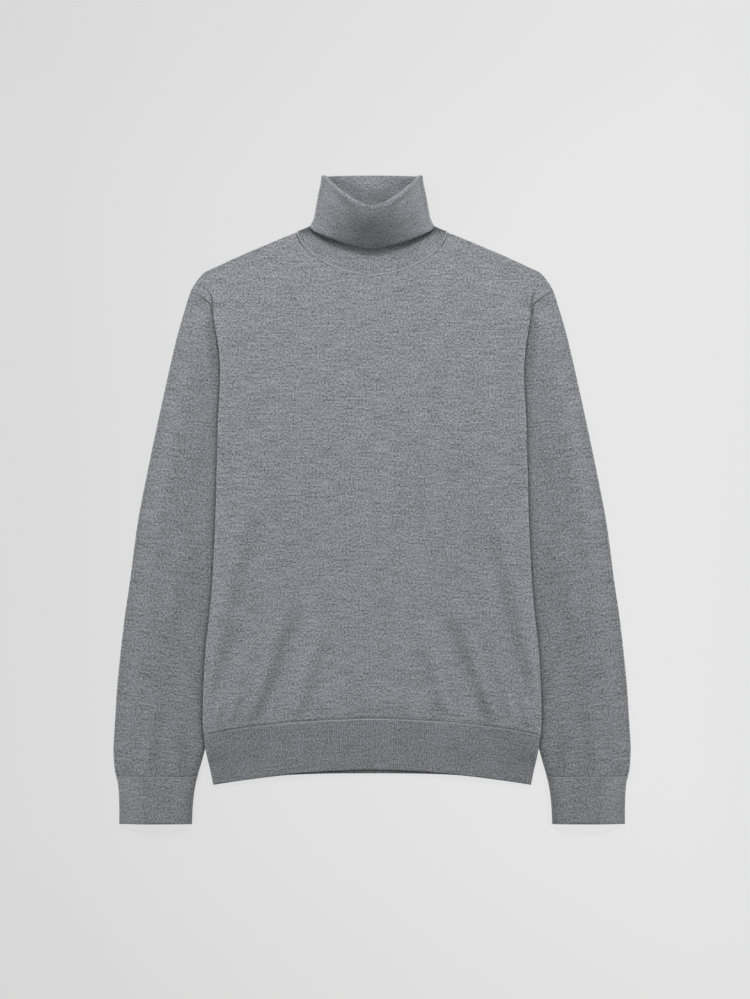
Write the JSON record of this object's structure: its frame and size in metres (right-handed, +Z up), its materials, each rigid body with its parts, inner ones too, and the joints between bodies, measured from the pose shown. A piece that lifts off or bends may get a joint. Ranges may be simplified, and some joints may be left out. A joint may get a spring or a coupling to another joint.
{
  "type": "turtleneck sweater",
  "caption": "Fine-gauge knit sweater with a folded roll neck, long sleeves, ribbed cuffs and a ribbed hem, laid flat with its sleeves tucked under the body.",
  "frame": {"origin": "centre of the garment's outline on the surface that it lies on", "axes": "+Y runs from the cuffs to the neck, +Z up from the surface towards the front panel, +X towards the sleeve on the right of a viewer who faces the front"},
  "size_m": [0.6334, 0.795, 0.0438],
  "materials": {
    "jersey": "matt fine-gauge jersey knit, mid-grey melange",
    "rib": "matt fine rib knit, mid-grey melange"
  },
  "bodies": {
    "root": {"front_panel": "jersey", "back_panel": "jersey", "sleeve_left": "jersey", "sleeve_right": "jersey", "collar": "rib", "hem_band": "rib", "cuff_left": "rib", "cuff_right": "rib"}
  },
  "joints": []
}
